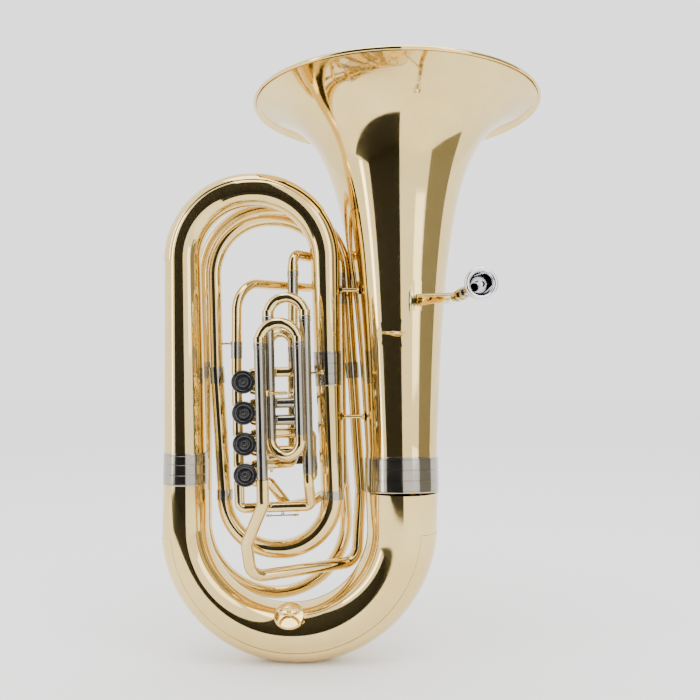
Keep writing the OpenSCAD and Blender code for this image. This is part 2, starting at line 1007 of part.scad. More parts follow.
module receiver_brace()
{
    a = [193.5, -36.2, 574];
    b = mouthpiece_at + mouth_in * 118;
    color(brass)
    {
        intersection()
        {
            bell_cover(1.6);
            translate([187.5, -70, 551])
                cube([12, 50, 46]);
        }
        rod(a, b - unit(b - a) * 8.6, 2.6);
        along(b - unit(b - a) * 14, unit(b - a))
            cylinder(r1 = 2.6, r2 = 4.4, h = 5.6);
        along(b - mouth_in * 5, mouth_in)
            difference()
            {
                cylinder(r = 9.6, h = 10);
                translate([0, 0, -OVERCUT])
                    cylinder(r = 7.65, h = 10 + 2 * OVERCUT);
            }
    }
}

// A thin shell that lies on the outside of the bell.
module bell_cover(thick)
{
    bell_frame()
        rotate_extrude()
            polygon(concat(
                [for (h = cover_h) [flare_r(h) + 0.1 + thick, h]],
                [for (i = [len(cover_h) - 1 : -1 : 0]) [flare_r(cover_h[i]) - 0.35, cover_h[i]]]
            ));
}

// ---------- strap rings, braces and water key ----------

module strap_ring(centre)
{
    translate(centre)
        rotate_extrude()
            union()
            {
                translate([ring_bore_r, -1.5])
                    square([ring_wire_r, 3]);
                translate([ring_bore_r + ring_wire_r, 0])
                    circle(r = ring_wire_r);
            }
}

module strap_rings()
{
    bell_strap_ring();
    bow_strap_ring();
}

module bell_strap_ring()
{
    color(brass)
    {
        intersection()
        {
            bell_cover(1.4);
            translate([upper_ring.x, -90, upper_ring.z])
                rotate([-90, 0, 0])
                    cylinder(r = 25, h = 90);
        }
        strap_ring(upper_ring);
        rod(upper_ring + [0, ring_bore_r + 3, 0], upper_ring + [0, ring_bore_r + 10, 0], 3.4);
    }
}

module bow_strap_ring()
{
    foot = [lower_ring.x, 0, bottom_bow_z - bottom_bow_r];
    out = unit([0, -0.69, 0.725]);
    r = 46.3;
    color(brass)
    {
        along(foot + out * r, out)
            cylinder(r1 = 24, r2 = 22, h = 2.4);
        strap_ring(lower_ring);
        rod(foot + out * (r + 0.5), lower_ring + [0, ring_bore_r + 2.6, 0], 3.4);
    }
}

// A strut with a round foot at each end.
module strut(a, b, r)
{
    d = unit(b - a);
    rod(a, b, r);
    for (foot = [[a, d], [b, -d]])
        along(foot[0], foot[1])
            cylinder(r1 = r * 2.4, r2 = r * 1.2, h = 4);
}

module braces()
{
    color(brass)
        for (s = struts)
            strut(s[0], s[1], s[2]);
    turned_brace();
}

module turned_brace()
{
    color(brass)
        cluster()
            translate([(main_mouth_a.x + main_mouth_b.x) / 2, main_mouth_a.y, turned_brace_z])
                rotate([0, 90, 0])
                    rotate_extrude()
                        for (side = [-1, 1])
                            scale([1, side])
                                polygon([
                                    [0, 0], [3.4, 0], [3.4, 1.5], [2, 2.6], [3.2, 4.4], [2, 6.2], [3.2, 8],
                                    [1.8, 9.8], [1.6, 15], [4.6, 18], [5.4, 20.4], [0, 20.4]
                                ]);
}

module water_key_saddle()
{
    color(brass)
        cluster()
        {
            difference()
            {
                for (side = [-1, 1])
                    translate([key_x - 3, key_y + side * 4 - 0.8, key_z - 2.6])
                        cube([6, 1.6, 10]);
                translate([key_x, key_y - 10, key_z])
                    rotate([-90, 0, 0])
                        cylinder(r = 1, h = 20);
            }
            translate([key_x, key_y - 6, key_z])
                rotate([-90, 0, 0])
                    cylinder(r = 1, h = 12);
            translate([key_x - 22, key_y, key_z + 0.7])
                difference()
                {
                    cylinder(r = 3.6, h = 6);
                    translate([0, 0, -OVERCUT])
                        cylinder(r = 2.4, h = 8);
                }
        }
}

module water_key()
{
    color(nickel)
        cluster()
            translate([key_x, key_y, key_z])
            {
                difference()
                {
                    rotate([-90, 0, 0])
                        cylinder(r = 2.4, h = 6, center = true);
                    rotate([-90, 0, 0])
                        cylinder(r = 1 + fit_gap, h = 8, center = true);
                }
                translate([-20, -1.6, -2.6])
                    cube([18.4, 3.2, 1.6]);
                translate([1.6, -1.6, -2.4])
                    cube([16, 3.2, 1.6]);
                translate([-22, 0, -3])
                    cylinder(r = 4.4, h = 3.2);
                translate([20, 0, -2.6])
                    cylinder(r = 5, h = 1.8);
            }
}

bell();
garlands();
bottom_bow();
bottom_bow_guard();
top_bow();
top_bow_guard();
third_leg();
third_bow();
second_leg();
second_top_bow();
first_bottom_bow();
first_top_bow();
gooseneck();
small_ferrules();
main_slide();
slide_sleeves();
linking_bow();
second_slide_bow();
lower_connector();
main_line();
first_valve_slide();
first_valve_tubing();
second_valve_slide();
second_valve_tubing();
third_valve_slide();
third_valve_tubing();
fourth_valve_slide();
fourth_valve_tubing();
bearing_plates();
valve_caps();
paddle_axle();
axle_brackets();
paddle_springs();
leadpipe();
receiver();
mouthpiece();
receiver_brace();
strap_rings();
braces();
water_key();
valve_casing(0);  // valve_casing_1
valve_casing(1);  // valve_casing_2
valve_casing(2);  // valve_casing_3
valve_casing(3);  // valve_casing_4
rotor(0);  // rotor_1
rotor(1);  // rotor_2
rotor(2);  // rotor_3
rotor(3);  // rotor_4
stop_arm(0);  // stop_arm_1
stop_arm(1);  // stop_arm_2
stop_arm(2);  // stop_arm_3
stop_arm(3);  // stop_arm_4
linkage_rod(0);  // linkage_rod_1
linkage_rod(1);  // linkage_rod_2
linkage_rod(2);  // linkage_rod_3
linkage_rod(3);  // linkage_rod_4
paddle(0);  // paddle_1
paddle(1);  // paddle_2
paddle(2);  // paddle_3
paddle(3);  // paddle_4
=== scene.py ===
"""Looks of the four-valve rotary tuba: smooth tubes, bell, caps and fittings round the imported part."""

import json
import math

import bmesh
import bpy
import numpy as np
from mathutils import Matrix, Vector


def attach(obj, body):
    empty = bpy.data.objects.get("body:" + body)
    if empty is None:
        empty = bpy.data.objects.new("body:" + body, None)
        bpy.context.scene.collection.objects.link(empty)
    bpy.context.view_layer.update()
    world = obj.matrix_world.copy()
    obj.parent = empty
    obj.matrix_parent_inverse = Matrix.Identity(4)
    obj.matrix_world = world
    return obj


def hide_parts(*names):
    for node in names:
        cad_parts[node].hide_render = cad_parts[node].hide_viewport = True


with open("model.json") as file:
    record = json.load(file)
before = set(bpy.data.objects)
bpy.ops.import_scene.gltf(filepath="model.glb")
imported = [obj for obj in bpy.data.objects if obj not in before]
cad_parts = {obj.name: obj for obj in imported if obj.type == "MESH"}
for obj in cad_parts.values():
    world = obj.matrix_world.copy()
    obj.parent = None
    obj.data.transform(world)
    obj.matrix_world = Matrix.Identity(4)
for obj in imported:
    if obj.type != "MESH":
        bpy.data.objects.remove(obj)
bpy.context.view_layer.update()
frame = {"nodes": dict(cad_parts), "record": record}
MM = 0.001
UP = np.array([0.0, 0.0, 1.0])
RIGHT = np.array([1.0, 0.0, 0.0])

# ---------- dimensions in millimetres, the same as the part's ----------

SHEET = 0.9
TUBE_R = 8.0
SLEEVE_R = 8.4
INNER_LEG_R = 7.52
SLIDE_RING_H = 9.0
BELL_BASE = np.array([170.5, 0.0, 267.0])
BELL_LEAN = 6.5
BELL_SIDE_LEAN = 0.5
BELL_LENGTH = 632.0
BELL_FLARE = 36.0
BELL_THROAT_R = 57.0
BELL_THROAT_H = 55.0
BELL_END_R = 231.5
BEAD_R = 3.5
BOTTOM_BOW_R = 170.5
BOTTOM_BOW_Z = 216.0
TOP_BOW_R = 112.0
TOP_BOW_X = -65.0
TOP_BOW_Z = 630.0
THIRD_BOW_R = 85.0
THIRD_BOW_AT = (-24.0, 260.6)
VALVE_X = -74.0
VALVE_TOP_Z = 441.4
VALVE_PITCH = 47.2
PORT_Y = -40.0
PORT_DZ = 13.2
MAIN_DX = 11.5
CASING_PORT = 11.5
CLUSTER_LEAN = 1.4
MOUTHPIECE_AT = np.array([268.0, -215.0, 581.0])
MOUTH_IN = np.array([-0.12, 0.99, -0.07])
MOUTH_IN = MOUTH_IN / np.linalg.norm(MOUTH_IN)
SHANK_R = 6.2
RECEIVER_H = 56.0


def valve_z(i):
    return VALVE_TOP_Z - i * VALVE_PITCH


def leaned(p):
    """A place in the valve cluster, turned with the cluster about the first valve."""
    a = math.radians(-CLUSTER_LEAN)
    x = p[0] - VALVE_X
    z = p[2] - VALVE_TOP_Z
    return np.array([
        VALVE_X + x * math.cos(a) + z * math.sin(a),
        p[1],
        VALVE_TOP_Z - x * math.sin(a) + z * math.cos(a),
    ])


# ---------- mesh helpers ----------

def unit(v):
    return v / np.linalg.norm(v)


def mix(a, b, t):
    return a + (b - a) * t


def corner(p0, p1, p2, bend, step):
    """Points with directions along a rounded corner."""
    back = unit(p0 - p1)
    ahead = unit(p2 - p1)
    turn = math.pi - math.acos(max(-1.0, min(1.0, float(back @ ahead))))
    if turn < 1e-4:
        return []
    centre = p1 + unit(back + ahead) * bend / math.cos(turn / 2)
    e1 = unit(p1 + back * bend * math.tan(turn / 2) - centre)
    e2 = -back
    n = max(2, math.ceil(math.degrees(turn) / step))
    return [
        (centre + bend * (math.cos(a) * e1 + math.sin(a) * e2), math.cos(a) * e2 - math.sin(a) * e1)
        for a in (turn * k / n for k in range(n + 1))
    ]


def route(points, bend, step=4.0):
    """A path of straight stretches with rounded corners."""
    p = [np.array(q, float) for q in points]
    path = [(p[0], unit(p[1] - p[0]))]
    for i in range(1, len(p) - 1):
        path += corner(p[i - 1], p[i], p[i + 1], bend, step)
    path.append((p[-1], unit(p[-1] - p[-2])))
    return path


def growing(path, r0, r1):
    """Radii that grow evenly along a path."""
    steps = [0.0] + [float(np.linalg.norm(b[0] - a[0])) for a, b in zip(path, path[1:])]
    along = np.cumsum(steps)
    return [mix(r0, r1, d / along[-1]) for d in along]


def sideways(path):
    """A sideways direction at each path point, carried along without twist."""
    e = np.array([0.0, 1.0, 0.001])
    out = []
    for _, t in path:
        e = unit(e - t * float(t @ e))
        out.append(e)
    return out


def ring(at, e, r, degrees):
    """Points round a path point; 180 degrees is the outside of a bow."""
    side = np.cross(at[1], e)
    return [
        at[0] + r * (math.cos(a) * side + math.sin(a) * e)
        for a in (math.radians(d) for d in degrees)
    ]


def add_mesh(name, verts, faces, material, sharp=40):
    mesh = bpy.data.meshes.new(name)
    mesh.from_pydata([tuple(float(c) * MM for c in v) for v in verts], [], faces)
    mesh.validate()
    mesh.shade_smooth()
    mesh.set_sharp_from_angle(angle=math.radians(sharp))
    mesh.materials.append(material)
    obj = bpy.data.objects.new(name, mesh)
    bpy.context.scene.collection.objects.link(obj)
    return obj


def grid_faces(rows, columns, start=0, flip=False, closed=True):
    """Quads over a grid of points; the columns close into a ring unless told otherwise."""
    faces = []
    for i in range(rows - 1):
        for j in range(columns if closed else columns - 1):
            k = (j + 1) % columns
            quad = (start + i * columns + j, start + i * columns + k,
                    start + (i + 1) * columns + k, start + (i + 1) * columns + j)
            faces.append(quad[::-1] if flip else quad)
    return faces


def tube_mesh(path, radii, wall, sides):
    """Hollow tube, closed at both ends by flat rims from the outer to the inner wall."""
    degrees = [360 * j / sides for j in range(sides)]
    es = sideways(path)
    outer = [p for at, e, r in zip(path, es, radii) for p in ring(at, e, r, degrees)]
    inner = [p for at, e, r in zip(path, es, radii) for p in ring(at, e, r - wall, degrees)]
    m = len(path)
    shift = m * sides
    faces = grid_faces(m, sides) + grid_faces(m, sides, shift, flip=True)
    last = (m - 1) * sides
    for j in range(sides):
        k = (j + 1) % sides
        faces.append((j, shift + j, shift + k, k))
        faces.append((last + j, last + k, shift + last + k, shift + last + j))
    return outer + inner, faces


def tube(name, parts, material, body, nodes, wall=0.7, sides=40):
    """One piece from one or more (path, r0, r1) tubes."""
    verts = []
    faces = []
    for path, r0, r1 in parts:
        v, f = tube_mesh(path, growing(path, r0, r1), wall, sides)
        faces += [tuple(i + len(verts) for i in face) for face in f]
        verts += v
    obj = add_mesh(name, verts, faces, material)
    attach(obj, body)
    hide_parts(*nodes)
    return obj


def straight(a, b):
    a = np.array(a, float)
    b = np.array(b, float)
    return [(a, unit(b - a)), (b, unit(b - a))]


def lathe_mesh(profile, origin, axis, segments=96):
    """Surface of revolution; profile holds (radius, distance along the axis)."""
    axis = unit(np.array(axis, float))
    seed = np.array([1.0, 0.0, 0.0]) if abs(axis[0]) < 0.9 else np.array([0.0, 1.0, 0.0])
    e1 = unit(seed - axis * float(axis @ seed))
    e2 = np.cross(axis, e1)
    verts = []
    for r, h in profile:
        for j in range(segments):
            a = 2 * math.pi * j / segments
            verts.append(origin + axis * h + r * (math.cos(a) * e1 + math.sin(a) * e2))
    return verts, grid_faces(len(profile), segments)


def lathe(name, shapes, material, body, nodes, sharp=35):
    """One piece from several (profile, origin, axis, segments) turned shapes."""
    verts = []
    faces = []
    for profile, origin, axis, segments in shapes:
        v, f = lathe_mesh(profile, np.array(origin, float), axis, segments)
        faces += [tuple(i + len(verts) for i in face) for face in f]
        verts += v
    obj = add_mesh(name, verts, faces, material, sharp)
    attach(obj, body)
    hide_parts(*nodes)
    return obj


# ---------- materials ----------

class Nodes:
    """Short names for building one node material."""

    def __init__(self, name):
        self.material = bpy.data.materials.new(name)
        self.material.use_nodes = True
        self.tree = self.material.node_tree
        self.shader = self.tree.nodes["Principled BSDF"]
        self.place = self.add("ShaderNodeTexCoord").outputs["Object"]

    def add(self, kind, **values):
        node = self.tree.nodes.new(kind)
        for key, value in values.items():
            node.inputs[key.replace("_", " ")].default_value = value
        return node

    def link(self, a, b):
        self.tree.links.new(a, b)

    def stretched(self, scale):
        node = self.add("ShaderNodeMapping")
        node.inputs["Scale"].default_value = scale
        self.link(self.place, node.inputs["Vector"])
        return node.outputs["Vector"]

    def noise(self, scale, detail=4.0, rough=0.55, vector=None, distortion=0.0):
        node = self.add("ShaderNodeTexNoise", Scale=scale, Detail=detail, Roughness=rough, Distortion=distortion)
        self.link(vector or self.place, node.inputs["Vector"])
        return node.outputs["Fac"]

    def ramp(self, fac, low, high, a, b):
        node = self.add("ShaderNodeMapRange", From_Min=low, From_Max=high, To_Min=a, To_Max=b)
        self.link(fac, node.inputs["Value"])
        return node.outputs["Result"]

    def tint(self, fac, a, b):
        node = self.tree.nodes.new("ShaderNodeMix")
        node.data_type = "RGBA"
        node.inputs[6].default_value = (*a, 1)
        node.inputs[7].default_value = (*b, 1)
        self.link(fac, node.inputs[0])
        return node.outputs[2]

    def math(self, operation, a, b):
        node = self.tree.nodes.new("ShaderNodeMath")
        node.operation = operation
        for socket, value in zip(node.inputs, (a, b)):
            if isinstance(value, (int, float)):
                socket.default_value = value
            else:
                self.link(value, socket)
        return node.outputs[0]

    def bump(self, height, strength, distance, under=None):
        node = self.add("ShaderNodeBump", Strength=strength, Distance=distance)
        self.link(height, node.inputs["Height"])
        if under:
            self.link(under, node.inputs["Normal"])
        return node.outputs["Normal"]

    def set(self, **values):
        for key, value in values.items():
            socket = self.shader.inputs[key.replace("_", " ")]
            if isinstance(value, bpy.types.NodeSocket):
                self.link(value, socket)
            else:
                socket.default_value = value


def plated_metal(name, bright, deep, rough, worn, coat):
    """Polished metal: soft tone changes, hazy handled areas, fine polishing lines and faint waviness."""
    n = Nodes(name)
    clouds = n.noise(9.0, 5.0, 0.6)
    spots = n.noise(420.0, 3.0, 0.6)
    lines = n.noise(60.0, 6.0, 0.7, n.stretched((1.0, 1.0, 26.0)))
    handled = n.noise(22.0, 6.0, 0.65, distortion=0.6)
    tone = n.math("MULTIPLY_ADD", clouds, 0.7)
    n.link(n.math("MULTIPLY", spots, 0.3), tone.node.inputs[2])
    haze = n.ramp(handled, 0.45, 0.75, rough, worn)
    fine = n.math("MULTIPLY", n.ramp(lines, 0.35, 0.7, 0.75, 1.25), haze)
    wavy = n.bump(n.noise(14.0, 2.0), 0.1, 0.0012)
    scratched = n.bump(lines, 0.03, 0.0002, wavy)
    n.set(
        Base_Color=n.tint(n.ramp(tone, 0.35, 0.65, 0.0, 1.0), deep, bright),
        Metallic=1.0,
        Roughness=fine,
        Normal=scratched,
        Coat_Weight=coat,
        Coat_Roughness=0.04,
    )
    return n.material


# Glossy black for the valve caps: a painted reflection of the dark camera side, put on caps that are polished nickel
# silver; the noise adds random wear.
def painted_reflection_black(name):
    n = Nodes(name)
    wear = n.noise(160.0, 6.0, 0.65)
    grain = n.noise(900.0, 4.0)
    n.set(
        Base_Color=n.tint(n.ramp(wear, 0.4, 0.75, 0.0, 1.0), (0.006, 0.006, 0.007), (0.022, 0.021, 0.02)),
        Roughness=n.ramp(wear, 0.4, 0.75, 0.09, 0.26),
        Normal=n.bump(grain, 0.05, 0.0002),
        Coat_Weight=0.5,
        Coat_Roughness=0.06,
    )
    return n.material


def studio_paper(name, tone):
    n = Nodes(name)
    fibre = n.noise(300.0, 5.0)
    n.set(
        Base_Color=n.tint(n.noise(1.2, 3.0), tuple(c * 0.985 for c in tone), tone),
        Roughness=n.ramp(fibre, 0.3, 0.7, 0.75, 0.9),
        Normal=n.bump(fibre, 0.04, 0.0003),
    )
    return n.material


BRASS = plated_metal("lacquered_brass", (0.83, 0.635, 0.27), (0.74, 0.53, 0.19), 0.05, 0.11, 0.2)
NICKEL = plated_metal("nickel_silver", (0.43, 0.395, 0.33), (0.34, 0.31, 0.255), 0.1, 0.2, 0.1)
SILVER = plated_metal("silver_plate", (0.86, 0.86, 0.87), (0.76, 0.76, 0.78), 0.05, 0.11, 0.0)
# The caps and the part's black_caps slot get this painted reflection black in place of nickel silver.
CAP_PAINTED_REFLECTION_BLACK = painted_reflection_black("black_caps")
MATERIALS = {"brass": BRASS, "nickel": NICKEL, "silver": SILVER, "black_caps": CAP_PAINTED_REFLECTION_BLACK}

for part in frame["record"]["subparts"]:
    mesh = frame["nodes"][part["node"]].data
    mesh.materials.clear()
    mesh.materials.append(MATERIALS[part["material_slot"]])

# ---------- bell ----------

lean = math.radians(-BELL_LEAN)
side_lean = math.radians(-BELL_SIDE_LEAN)
BELL_AXIS = unit(np.array([
    math.sin(side_lean) * math.cos(lean), -math.sin(lean), math.cos(side_lean) * math.cos(lean),
]))


def flare_r(h):
    if h <= BELL_THROAT_H:
        return BELL_THROAT_R
    return BELL_END_R * math.sqrt(BELL_FLARE / (BELL_LENGTH - h + BELL_FLARE))


def bell():
    heights = [1.0, BELL_THROAT_H - 6]
    heights += [mix(BELL_THROAT_H, BELL_LENGTH - 2, 1 - (1 - i / 90) ** 1.8) for i in range(91)]
    outer = [(flare_r(h), h) for h in heights]
    bead_z = BELL_LENGTH - BEAD_R + 0.6
    bead = [
        (BELL_END_R + BEAD_R * math.cos(a), bead_z + BEAD_R * math.sin(a))
        for a in (math.radians(-60 + 300 * k / 24) for k in range(25))
    ]
    inner = [(flare_r(h) - SHEET, h + SHEET * 0.6) for h in reversed(heights[:-1])]
    lathe("bell_shell", [(outer + bead + inner, BELL_BASE, BELL_AXIS, 192)], BRASS, "horn", ["bell"], 60)


def band(r0, r1, h, lines, thick=1.0, groove=0.45):
    """Profile of a garland: a thin band with turned grooves and rounded lips."""
    profile = [(r0 - 0.02, 0.0), (r0 + thick * 0.7, 0.0), (r0 + thick, 0.6)]
    for line in lines:
        r = mix(r0, r1, line / h) + thick
        profile += [(r, line - 0.8), (r - groove, line - 0.35), (r - groove, line + 0.35), (r, line + 0.8)]
    profile += [(r1 + thick, h - 0.6), (r1 + thick * 0.7, h), (r1 - 0.02, h)]
    return profile


def garlands():
    on_bell = band(57.05, 57.05, 55.0, (3, 19, 35, 51))
    on_left = band(34.3, 33.1, 50.0, (3, 17, 33, 47))
    on_leg = band(19.9, 21.3, 54.0, (3, 19, 35, 51))
    leg_top = np.array([54.5, 0.0, 436.0])
    leg_foot = np.array([60.9, 0.0, 262.0])
    leg_axis = np.array([52.6, 0.0, 485.0]) - leg_top
    lathe("garland_bands", [
        (on_bell, BELL_BASE - BELL_AXIS * 2, BELL_AXIS, 128),
        (on_left, [-171.2, 0, 279], UP, 96),
        (on_leg, leg_top - unit(leg_top - leg_foot) * 2, leg_axis, 80),
    ], NICKEL, "horn", ["garlands"])


# ---------- bows ----------

bottom_path = route([
    (-171.2, 0, 281), (-BOTTOM_BOW_R, 0, BOTTOM_BOW_Z - BOTTOM_BOW_R),
    (BOTTOM_BOW_R, 0, BOTTOM_BOW_Z - BOTTOM_BOW_R), (BOTTOM_BOW_R, 0, 267),
], BOTTOM_BOW_R - 2, 2.5)
top_path = route([
    (52.6, 0, 485), (TOP_BOW_X + TOP_BOW_R, 0, TOP_BOW_Z + TOP_BOW_R),
    (TOP_BOW_X - TOP_BOW_R, 0, TOP_BOW_Z + TOP_BOW_R), (-171.8, 0, 327),
], TOP_BOW_R - 2, 2.5)
third_path = route([
    (-109.1, 0.1, 262), (THIRD_BOW_AT[0] - THIRD_BOW_R, 0, THIRD_BOW_AT[1] - THIRD_BOW_R),
    (THIRD_BOW_AT[0] + THIRD_BOW_R, 0, THIRD_BOW_AT[1] - THIRD_BOW_R), (60.9, 0, 262),
], THIRD_BOW_R - 2)


def guard(name, node, path, r0, r1, start, end):
    """Crescent guard plate over the outside of a bow, with thin rounded edges."""
    radii = growing(path, r0, r1)
    es = sideways(path)
    keep = [i for i, at in enumerate(path) if start <= i / (len(path) - 1) <= end]
    degrees = [120 + 5 * k for k in range(25)]
    rows = []
    for i in keep:
        rise = [1.2 if 0 < k < len(degrees) - 1 else 0.5 for k in range(len(degrees))]
        rows += [
            ring(path[i], es[i], radii[i] + up, [d])[0] for d, up in zip(degrees, rise)
        ] + [ring(path[i], es[i], radii[i] + 0.15, [d])[0] for d in reversed(degrees)]
    columns = 2 * len(degrees)
    faces = grid_faces(len(keep), columns)
    faces.append(tuple(reversed(range(columns))))
    faces.append(tuple(range((len(keep) - 1) * columns, len(keep) * columns)))
    obj = add_mesh(name, rows, faces, BRASS)
    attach(obj, "horn")
    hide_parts(node)


def big_bows():
    tube("bottom_bow_tube", [(bottom_path, 34, 57)], BRASS, "horn", ["bottom_bow"], SHEET, 96)
    tube("top_bow_tube", [(top_path, 20.8, 32.8)], BRASS, "horn", ["top_bow"], SHEET, 72)
    tube("third_bow_tube", [(third_path, 11.5, 18)], BRASS, "horn", ["third_bow"], SHEET, 56)
    tube("third_leg_tube", [(straight((60.9, 0, 262), (54.5, 0, 436)), 18, 19.6)],
         BRASS, "horn", ["third_leg"], SHEET, 56)


def small_bows():
    second_top = route([(-122.1, 5.2, 451), (-129, 8, 700), (53.4, 62, 700), (64, 63, 451)], 92)
    first_top = route([(-149, 64, 457), (-155, 62, 725), (73, 64, 725), (92.3, 55, 457)], 112)
    first_bottom = route([(-149, 64.4, 456), (-149.8, 70, 90), (91.8, 70, 90), (64.1, 63.2, 450)], 119)
    second_leg = straight((-109.1, 0.1, 262), (-122, 5, 450))
    goose = route([
        leaned((-45.9, -80.5, 294.8)), (-42, -80.5, 258), (-68, -64, 196), (-62, -50, 143),
        (100, 38, 148), (106, 44, 262), (92.6, 55, 455),
    ], 26)
    return second_top, first_top, first_bottom, second_leg, goose


# ---------- slides, sleeves and valve tubing ----------

def in_cluster(p, out):
    """A place and a direction turned with the valve cluster."""
    p = np.array(p, float)
    return leaned(p), unit(leaned(p + out) - leaned(p))


def slide_bow(name, node, body, mouths, out, legs, bend, material):
    """A bow with two legs that pulls out of its sleeves, with a collar on each leg."""
    a, b = (np.array(m, float) for m in mouths)
    reach = float(np.linalg.norm(b - a)) / 2 + 0.2
    parts = [(route([a + out * 0.3, a + out * reach, b + out * reach, b + out * 0.3], bend), TUBE_R, TUBE_R)]
    for mouth, leg in zip((a, b), legs):
        parts.append((straight(mouth - out * leg, mouth + out * 2), INNER_LEG_R, INNER_LEG_R))
        parts.append((straight(mouth + out * 0.6, mouth + out * SLIDE_RING_H), TUBE_R + 0.8, TUBE_R + 0.8))
    tube(name, parts, material, body, [node], sides=48)


def cluster_slide(name, node, body, mouths, out, legs, bend, material=BRASS):
    turned = [in_cluster(m, out) for m in mouths]
    slide_bow(name, node, body, [t[0] for t in turned], turned[0][1], legs, bend, material)


def sleeve(mouth, out, length):
    """Outer sleeve with a raised collar at its mouth."""
    r = SLEEVE_R
    profile = [
        (r - 0.8, 0), (r - 0.3, 0), (r, 0.4), (r, length - 9.8), (r + 0.8, length - 9.2),
        (r + 0.8, length - 6.4), (r + 0.45, length - 6.0), (r + 0.45, length - 5.6), (r + 0.8, length - 5.2),
        (r + 0.8, length - 0.5), (r + 0.3, length), (r - 0.75, length), (r - 0.8, length - 0.4), (r - 0.8, 0),
    ]
    return profile, np.array(mouth, float) - out * length, out, 48


MAIN_A, MAIN_B = (-45.9, -80.5, 500), (12.3, -80.5, 500)
BACK_A, BACK_B = (-33.5, -62, 540), (22, -62, 540)
FIRST_A, FIRST_B = (-37, -22, 494), (3, -40, 494)
SECOND_A = (8, PORT_Y, valve_z(1) + PORT_DZ)
SECOND_B = (8, PORT_Y, valve_z(1) - PORT_DZ)
THIRD_A, THIRD_B = (26, -26, 303), (26, -44, 303)
FOURTH_A, FOURTH_B = (-1, -12, 614), (72, 36, 614)


def slides():
    cluster_slide("main_slide_bow", "main_slide", "main_tuning_slide", (MAIN_A, MAIN_B), UP, (90, 80), 28.9)
    cluster_slide("second_slide_tube", "second_slide_bow", "second_tuning_slide", (BACK_A, BACK_B), UP, (80, 80), 27.6)
    cluster_slide("first_loop_bow", "first_valve_slide", "first_loop_slide", (FIRST_A, FIRST_B), UP, (22, 22), 21.8)
    cluster_slide("second_loop_bow", "second_valve_slide", "second_loop_slide", (SECOND_A, SECOND_B), RIGHT,
                  (40, 40), 13.1, NICKEL)
    cluster_slide("third_loop_bow", "third_valve_slide", "third_loop_slide", (THIRD_A, THIRD_B), -UP, (16, 16), 8.9)
    a, b = np.array(FOURTH_A, float), np.array(FOURTH_B, float)
    bow = route([a + UP * 0.3, a + UP * 26, (24, 36, 640), b + UP * 26, b + UP * 0.3], 15)
    parts = [(bow, TUBE_R, TUBE_R)]
    for mouth in (a, b):
        parts.append((straight(mouth - UP * 40, mouth + UP * 2), INNER_LEG_R, INNER_LEG_R))
        parts.append((straight(mouth + UP * 0.6, mouth + UP * SLIDE_RING_H), TUBE_R + 0.8, TUBE_R + 0.8))
    tube("fourth_loop_bow", parts, BRASS, "fourth_loop_slide", ["fourth_valve_slide"], sides=48)


def sleeves():
    shapes = []
    for mouth, out, length in (
        (MAIN_A, UP, 205), (MAIN_B, UP, 140), (BACK_A, UP, 186), (BACK_B, UP, 240),
        (FIRST_A, UP, 50), (FIRST_B, UP, 24), (SECOND_A, RIGHT, 57.9), (SECOND_B, RIGHT, 57.9),
        (THIRD_A, -UP, 20), (THIRD_B, -UP, 17),
    ):
        shapes.append(sleeve(*in_cluster(mouth, out), length))
    for mouth in (FOURTH_A, FOURTH_B):
        shapes.append(sleeve(mouth, UP, 50))
    lathe("slide_sleeve_set", shapes, NICKEL, "horn", ["slide_sleeves"])


def valve_at(i):
    return np.array([VALVE_X, PORT_Y, valve_z(i)])


def outside_casings(path):
    """The part of a path that lies outside every valve casing's bore."""
    centres = [leaned(valve_at(i)) for i in range(4)]
    return [
        at for at in path
        if at[0][1] > -20 or at[0][1] < -60
        or min(math.hypot(at[0][0] - c[0], at[0][2] - c[2]) for c in centres) > 16.2
    ]


def pipe(points, bend=9.0):
    return outside_casings(route([leaned(p) for p in points], bend))


def loop_port(i, up):
    return [valve_at(i) + [10.5, 0, up * 10.5], valve_at(i) + [PORT_DZ, 0, up * PORT_DZ]]


def main_port(i, up):
    return [valve_at(i) + [-10, 0, up * 10], valve_at(i) + [-MAIN_DX, 0, up * MAIN_DX]]


